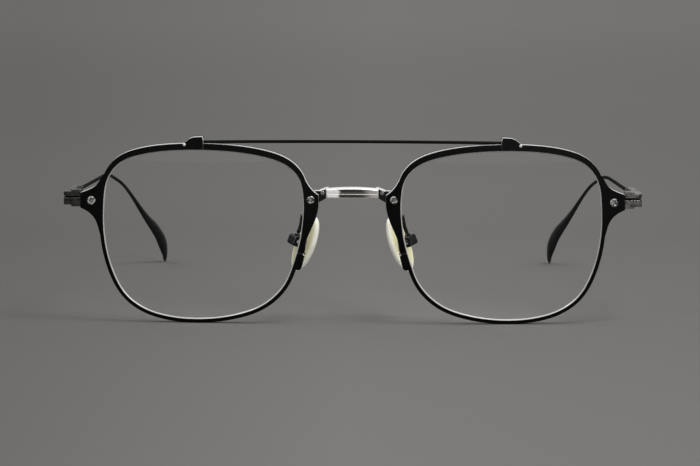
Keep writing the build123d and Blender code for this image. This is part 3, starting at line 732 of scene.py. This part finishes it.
class Wardrobe:
    """Every finish of the glasses."""

    def __init__(self, effects: Effects) -> None:
        """Name each finish with its own values."""
        self.rim = LacquerOnSilver("lacquer_on_silver", effects)
        self.bar = LacquerOnSilver("lacquered_wire", effects, lacquer_rough=(0.3, 0.38), wear=0.1, sheen=0.1,
                                   deep=40.0 * MM, turn=(-0.9, -0.6))
        self.claw = LacquerOnSilver("lacquered_claw", effects, wall=0.8 * MM, bead_radius=0.4 * MM,
                                    bead=(41.028 * MM, -69.752 * MM, 44.479 * MM))
        self.lens = ClearLens("clear_lens", effects)
        self.bridge = BridgeWithPaintedReflections("bridge_with_painted_reflections", effects)
        self.line = PlainMetal("satin_silver_line", effects, tone=(0.6, 0.59, 0.58), rough=0.35, metal=0.3,
                               film=0.3, shade_and_tarnish_tone=(0.3, 0.3, 0.3), reach=0.1 * MM)
        self.rivet = PlainMetal("grey_rivet", effects, tone=(0.5, 0.49, 0.48), rough=0.35, cover=0.9,
                                rough_spread=0.2)
        self.screw = StarScrew("star_screw", effects)
        self.pewter = EngravedPewter("engraved_pewter", effects)
        # The grooved end pieces get a painted shadow in their groove and painted highlights on their edges.
        self.grooved = EngravedPewter("grooved_pewter", effects, groove=31.1 * MM, glint=1.5)
        # The dark arm and box get painted highlights on their edges.
        self.arm = PlainMetal("dark_polished_steel", effects, tone=(0.02, 0.02, 0.02), rough=0.12,
                              rough_spread=0.05, cover=0.3, shade_and_tarnish_tone=(0.004, 0.004, 0.004),
                              edge_reach=0.16 * MM, painted_highlight_share=1.6)
        self.brass = PlainMetal("pad_brass", effects, tone=(0.62, 0.44, 0.18), rough=0.3)
        self.pad = IvorySilicone("ivory_silicone", effects)
        self.tip = BlackAcetate("black_acetate", effects)


def new_object(body: bmesh.types.BMesh, name: str) -> bpy.types.Object:
    """Turn a mesh that was built up into an object of the scene.

    Args:
        body: The mesh, which is used up.
        name: Name of the new object.

    Returns:
        The object.
    """
    mesh = bpy.data.meshes.new(name)
    body.to_mesh(mesh)
    body.free()
    made = bpy.data.objects.new(name, mesh)
    bpy.context.scene.collection.objects.link(made)
    return made


def dress_node(name: str, finish: Finish) -> None:
    """Give a solid of the frame its material.

    Args:
        name: The node.
        finish: The finish that it takes.
    """
    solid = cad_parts[name]
    for slot in solid.material_slots:
        slot.material = finish.material()
    LOG.info("%s: %s", name, finish.name)


@dataclass
class Front:
    """The two rims with their lenses, closing screws, claws and the top bar."""

    wardrobe: Wardrobe
    eye: Triple = (36.65 * MM, -67.425 * MM, 22.1234 * MM)
    tilt: float = 6.0
    wrap: float = 3.0
    half: tuple[float, float] = (24.85 * MM, 21.25 * MM)
    opening: Stops = (
        (-0.976, 0.018), (-1.0, 0.3), (-0.995, 0.47), (-0.956, 0.66), (-0.827, 0.821), (-0.648, 0.908),
        (-0.314, 0.979), (-0.018, 1.0), (0.286, 0.991), (0.636, 0.927), (0.819, 0.835), (0.944, 0.657),
        (0.992, 0.37), (0.994, 0.004), (0.928, -0.398), (0.761, -0.756), (0.622, -0.875), (0.306, -0.984),
        (0.078, -1.0), (-0.294, -0.953), (-0.592, -0.826), (-0.823, -0.549), (-0.887, -0.368),
        (-0.938, -0.18),
    )
    seat: Stops = (
        (0.12 * MM, 0.1 * MM), (0.0, 0.1 * MM), (-0.27 * MM, 0.34 * MM), (0.12 * MM, 0.34 * MM),
    )
    parts: int = 8

    def _outline(self) -> list[Vector]:
        """Smooth outline of the left opening in the plane of the eye.

        Returns:
            Its points, as distances outwards and upwards.
        """
        knots = [Vector((self.half[0] * u, self.half[1] * v)) for u, v in self.opening]
        points = []
        for index, here in enumerate(knots):
            before, after = knots[index - 1], knots[(index + 1) % len(knots)]
            beyond = knots[(index + 2) % len(knots)]
            first, span, last = (here - before).length, (after - here).length, (beyond - after).length
            start = ((here - before) / first * span + (after - here) / span * first) / (first + span) * span
            end = ((after - here) / span * last + (beyond - after) / last * span) / (span + last) * span
            for step in range(self.parts):
                t = step / self.parts
                points.append(
                    here * (2 * t**3 - 3 * t**2 + 1) + start * (t**3 - 2 * t**2 + t)
                    + after * (3 * t**2 - 2 * t**3) + end * (t**3 - t**2)
                )
        return points

    def _place(self, spot: Vector, depth: float) -> Vector:
        """Find the point of the left front at a depth under its domed face.

        Args:
            spot: The place in the plane of the eye.
            depth: How far the point lies behind the face.

        Returns:
            The point.
        """
        tilt, wrap = math.radians(self.tilt), math.radians(self.wrap)
        out = Vector((math.cos(wrap), math.sin(wrap), 0.0))
        ahead = Vector((math.sin(wrap) * math.cos(tilt), -math.cos(wrap) * math.cos(tilt), -math.sin(tilt)))
        flat = Vector(self.eye) + out * spot.x + ahead.cross(out) * spot.y
        away = flat - Vector(BALL)
        rise = away.dot(ahead)
        reach = math.sqrt((BALL_RADIUS - depth) ** 2 - away.length_squared + rise**2)
        return flat + ahead * (reach - rise)

    def _seat_line(self, side: Side) -> None:
        """Build the thin bright line that runs round a lens where it meets its rim.

        Args:
            side: The side of the lens.
        """
        spots = self._outline()
        body = bmesh.new()
        loops = []
        for index, spot in enumerate(spots):
            along = (spots[(index + 1) % len(spots)] - spots[index - 1]).normalized()
            outwards = Vector((-along.y, along.x))
            loop = []
            for grow, depth in self.seat:
                place = self._place(spot + outwards * grow, depth)
                loop.append(body.verts.new((place.x * side.value, place.y, place.z)))
            loops.append(loop)
        for index, loop in enumerate(loops):
            after = loops[(index + 1) % len(loops)]
            for step in range(len(loop)):
                nearby = (step + 1) % len(loop)
                body.faces.new((loop[step], loop[nearby], after[nearby], after[step]))
        bmesh.ops.recalc_face_normals(body, faces=body.faces)
        line = new_object(body, f"seat_line_{side.tag}")
        line.data.materials.append(self.wardrobe.line.material())
        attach(line, "front")
        LOG.info("%s: %s", line.name, self.wardrobe.line.name)

    def build(self) -> None:
        """Dress the solids of the rims and the top bar, and lay the seat lines."""
        for side in Side:
            self._seat_line(side)
            dress_node(f"rim_{side.tag}", self.wardrobe.rim)
            dress_node(f"top_bar_claw_{side.tag}", self.wardrobe.claw)
            dress_node(f"lens_{side.tag}", self.wardrobe.lens)
            for piece in ("rim_lock_screw", "end_piece_screw", "bridge_screw"):
                dress_node(f"{piece}_{side.tag}", self.wardrobe.screw)
        dress_node("top_bar", self.wardrobe.bar)


@dataclass
class NoseBridge:
    """The bright bar between the rims and its rivets."""

    wardrobe: Wardrobe

    def build(self) -> None:
        """Dress the bar and the rivets."""
        dress_node("bridge", self.wardrobe.bridge)
        for side in Side:
            dress_node(f"bridge_rivet_{side.tag}", self.wardrobe.rivet)


@dataclass
class NosePad:
    """One nose pad: a soft crowned oval on its metal insert, with its box, arm and screw."""

    side: Side
    wardrobe: Wardrobe
    centre: Triple = (12.5 * MM, -57.725 * MM, 19.2034 * MM)
    splay: float = 38.0
    slant: float = 21.0
    half_width: float = 3.5 * MM
    half_length: float = 7.3 * MM
    thickness: float = 2.1 * MM
    around: int = 40
    profile: Stops = (
        (0.0, 0.09), (0.4, 0.08), (0.72, 0.06), (0.9, 0.13), (0.985, 0.3), (1.0, 0.48), (0.975, 0.68),
        (0.9, 0.84), (0.72, 0.93), (0.4, 0.985), (0.0, 1.0),
    )
    boss: Stops = (
        (0.0, -0.28), (0.2, -0.28), (0.26, -0.24), (0.3, -0.1), (0.36, 0.05), (0.44, 0.09), (0.0, 0.12),
    )
    boss_rise: float = 0.25 * MM
    egg: float = 0.06
    thin_from: float = 0.7
    thin_power: float = 1.4

    def _axes(self) -> Matrix:
        """Axes of the pad: its width, its length and the way to the skin, as columns.

        Returns:
            The matrix from the pad's own directions to the frame's.
        """
        splay, slant = math.radians(self.splay), math.radians(self.slant)
        length = Vector((-math.sin(slant), 0.0, math.cos(slant)))
        skin = Vector((-math.cos(splay), math.sin(splay), 0.0))
        skin = (skin - length * skin.dot(length)).normalized()
        width = length.cross(skin)
        return Matrix((width, length, skin)).transposed()

    def _turned(self, name: str, rings: Stops, rise: float, egg: float) -> bpy.types.Object:
        """Build an oval form from rings of its profile.

        Args:
            name: Name of the new object.
            rings: Share of the half size and share of the thickness for each ring, pole to pole.
            rise: How far up the pad the form's middle lies.
            egg: How much wider the lower end is than the upper one.

        Returns:
            The object.
        """
        axes = self._axes()
        origin = Vector(self.centre)
        body = bmesh.new()
        thin = body.verts.layers.float.new("thinness")
        loops = []
        for share, height in rings:
            count = 1 if share == 0 else self.around
            loop = []
            for step in range(count):
                angle = 2 * math.pi * step / count
                up = share * self.half_length * math.sin(angle)
                bulge = 1 - egg * math.sin(angle)
                wide = share * self.half_width * math.cos(angle) * bulge
                local = Vector((wide, up + rise, height * self.thickness))
                place = origin + axes @ local
                vert = body.verts.new((place.x * self.side.value, place.y, place.z))
                thinned = max(0.0, (share - self.thin_from) / (1 - self.thin_from))
                vert[thin] = thinned**self.thin_power
                loop.append(vert)
            loops.append(loop)
        for low, high in zip(loops, loops[1:]):
            for step in range(self.around):
                after = (step + 1) % self.around
                corners = [low[step % len(low)], low[after % len(low)], high[after % len(high)],
                           high[step % len(high)]]
                body.faces.new(list(dict.fromkeys(corners)))
        bmesh.ops.recalc_face_normals(body, faces=body.faces)
        piece = new_object(body, name)
        piece.data.shade_smooth()
        smooth = piece.modifiers.new("smooth", "SUBSURF")
        smooth.levels = smooth.render_levels = 2
        return piece

    def build(self) -> None:
        """Build the pad and its moulded boss, and dress the metal pieces that carry it."""
        tag = self.side.tag
        pad = self._turned(f"soft_pad_{tag}", self.profile, 0.0, self.egg)
        boss = self._turned(f"pad_boss_{tag}", self.boss, self.boss_rise, 0.0)
        for piece in (pad, boss):
            piece.data.materials.append(self.wardrobe.pad.material())
            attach(piece, f"nose_pad_body_{tag}")
            LOG.info("%s: %s", piece.name, self.wardrobe.pad.name)
        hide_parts(f"nose_pad_{tag}")
        for piece in ("pad_arm", "pad_box"):
            dress_node(f"{piece}_{tag}", self.wardrobe.arm)
        dress_node(f"pad_core_{tag}", self.wardrobe.brass)
        dress_node(f"pad_screw_{tag}", self.wardrobe.screw)
        dress_node(f"nose_pad_{tag}", self.wardrobe.pad)


@dataclass
class Temple:
    """One folding temple with its end piece, hinge screw and tip."""

    side: Side
    wardrobe: Wardrobe

    def build(self) -> None:
        """Dress the end piece, the temple, the hinge screw and the tip."""
        tag = self.side.tag
        dress_node(f"end_piece_{tag}", self.wardrobe.grooved)
        dress_node(f"temple_{tag}", self.wardrobe.pewter)
        dress_node(f"hinge_screw_{tag}", self.wardrobe.screw)
        dress_node(f"temple_tip_{tag}", self.wardrobe.tip)


@dataclass
class Studio:
    """Plain floor, soft light and the camera of the photograph."""

    grey: Colour = (0.205, 0.2, 0.192)
    mottle: Colour = (0.3, 0.28, 0.28)
    mottle_share: float = 0.02
    # Painted light on the floor: shares of its tone by depth and by side.
    ramp: Stops = ((0.58, 0.85), (0.75, 1.25), (0.9, 1.45))
    painted_side_light: Stops = ((0.15, 0.8), (0.5, 1.0), (0.85, 0.93))
    ramp_start: float = -0.669
    ramp_half: float = 0.6
    nearest: float = 0.44
    spread: float = 0.4
    floor_half: float = 20.0
    ambient: float = 0.62
    backdrop: float = 0.165
    camera_place: Triple = (6.5 * MM, -668.75 * MM, 83.5 * MM)
    pitch: float = 5.77
    yaw: float = 0.67
    roll: float = 0.2
    focal: float = 126.51
    lamps: tuple[tuple[Triple, float, float], ...] = (
        ((0.25, -0.25, 0.7), 0.3, 2.0),
        ((-0.45, 0.25, 0.6), 0.3, 0.6),
        ((0.38, -0.75, 0.34), 0.25, 1.7),
        ((-0.3, -0.5, 0.5), 0.08, 0.35),
    )

    def _camera(self) -> None:
        """Set the camera that sees the object as the photograph does."""
        pitch, yaw, roll = (math.radians(angle) for angle in (self.pitch, self.yaw, self.roll))
        ahead = Vector((-math.sin(yaw) * math.cos(pitch), math.cos(yaw) * math.cos(pitch), -math.sin(pitch)))
        right = Vector((math.cos(yaw), math.sin(yaw), 0.0))
        up = right.cross(ahead)
        across = right * math.cos(roll) + up * math.sin(roll)
        above = up * math.cos(roll) - right * math.sin(roll)
        data = bpy.data.cameras.new("camera")
        data.lens, data.sensor_width, data.sensor_fit = self.focal, 36.0, "HORIZONTAL"
        data.clip_start, data.clip_end = 0.01, 100.0
        camera = bpy.data.objects.new("camera", data)
        turn = Matrix((across, above, -ahead)).transposed().to_4x4()
        camera.matrix_world = Matrix.Translation(self.camera_place) @ turn
        bpy.context.scene.collection.objects.link(camera)
        bpy.context.scene.camera = camera

    @staticmethod
    def _stepped(board: Board, value: object, stops: Stops) -> Socket:
        """Turn a value into shares of a tone, given at some of its values.

        Args:
            board: The board of the material.
            value: The socket that is read.
            stops: Each value and its share.

        Returns:
            The share's socket.
        """
        share = stops[0][1]
        for (low, before), (high, after) in zip(stops, stops[1:]):
            step = board.sum("DIVIDE", board.sum("SUBTRACT", value, low), high - low, clamp=True)
            share = board.sum("ADD", share, board.times(step, after - before))
        return share

    def _floor(self) -> None:
        """Lay the floor, a matt sheet with painted light: its tone rises slowly in depth, to make up for the
        lamps' falloff, and falls off to the sides as painted shade.
        """
        body = bmesh.new()
        bmesh.ops.create_grid(body, x_segments=8, y_segments=8, size=self.floor_half)
        floor = new_object(body, "floor")
        floor.location.z = -HAIR
        paper = bpy.data.materials.new("grey_paper")
        paper.use_nodes = True
        paper.node_tree.nodes.clear()
        board = Board(paper.node_tree)
        place = board.where()
        away = board.sum("MAXIMUM", board.sum("SUBTRACT", place.outputs["Y"], self.ramp_start), 0.0)
        depth = board.sum("DIVIDE", away, board.sum("ADD", away, self.ramp_half))
        slope = board.sum("DIVIDE", place.outputs["X"], board.sum("MAXIMUM", away, self.nearest))
        side = board.sum("ADD", board.sum("DIVIDE", slope, self.spread), 0.5)
        # Painted light: the tone rises far away to make up for the lamps' falloff, and falls off to the
        # sides as painted shade.
        share = board.times(self._stepped(board, depth, self.ramp),
                            self._stepped(board, side, self.painted_side_light))
        lit = board.add("VectorMath", {0: self.grey, "Scale": share}, operation="SCALE")
        clouds = board.add("TexNoise", {"Vector": board.spot(), "Scale": 12.0, "Detail": 2.0})
        tint = board.times(clouds.outputs["Fac"], self.mottle_share)
        tone = board.blend(Layer.COLOUR, tint, lit.outputs["Vector"], self.mottle)
        shader = board.add("BsdfPrincipled", {"Base Color": tone, "Roughness": 0.9,
                                              "Specular IOR Level": 0.0})
        output = board.add("OutputMaterial")
        board.feed(output, "Surface", shader.outputs["BSDF"])
        floor.data.materials.append(paper)

    def _light(self) -> None:
        """Hang the lamps and light the surroundings evenly, with a darker backdrop where they are seen."""
        for number, (place, size, power) in enumerate(self.lamps):
            data = bpy.data.lights.new(f"softbox_{number}", "AREA")
            data.shape, data.size, data.energy = "SQUARE", size, power
            lamp = bpy.data.objects.new(f"softbox_{number}", data)
            lamp.location = place
            lamp.rotation_euler = (-Vector(place)).to_track_quat("-Z", "Y").to_euler()
            bpy.context.scene.collection.objects.link(lamp)
        world = bpy.data.worlds.new("surroundings")
        world.use_nodes = True
        world.node_tree.nodes.clear()
        board = Board(world.node_tree)
        path = board.add("LightPath")
        bounced = board.sum("ADD", path.outputs["Glossy Depth"], path.outputs["Diffuse Depth"])
        direct = board.sum("LESS_THAN", bounced, 0.5)
        through = board.times(path.outputs["Is Transmission Ray"], direct)
        seen = board.sum("MAXIMUM", path.outputs["Is Camera Ray"], through)
        tone = board.blend(Layer.COLOUR, seen, (self.ambient,) * 3, (self.backdrop,) * 3)
        sky = board.add("Background", {"Color": tone, "Strength": 1.0})
        output = board.add("OutputWorld")
        board.feed(output, "Surface", sky.outputs["Background"])
        bpy.context.scene.world = world

    def build(self) -> None:
        """Set up the camera, the floor and the light."""
        self._camera()
        self._floor()
        self._light()
        bpy.context.scene.view_settings.view_transform = "Standard"


def main() -> None:
    """Build and dress the glasses, then set them in the studio."""
    logging.basicConfig(level=logging.INFO, format="%(message)s")
    wardrobe = Wardrobe(Effects())
    Front(wardrobe).build()
    NoseBridge(wardrobe).build()
    for side in Side:
        NosePad(side, wardrobe).build()
        Temple(side, wardrobe).build()
    Studio().build()


if __name__ == "__main__":
    main()
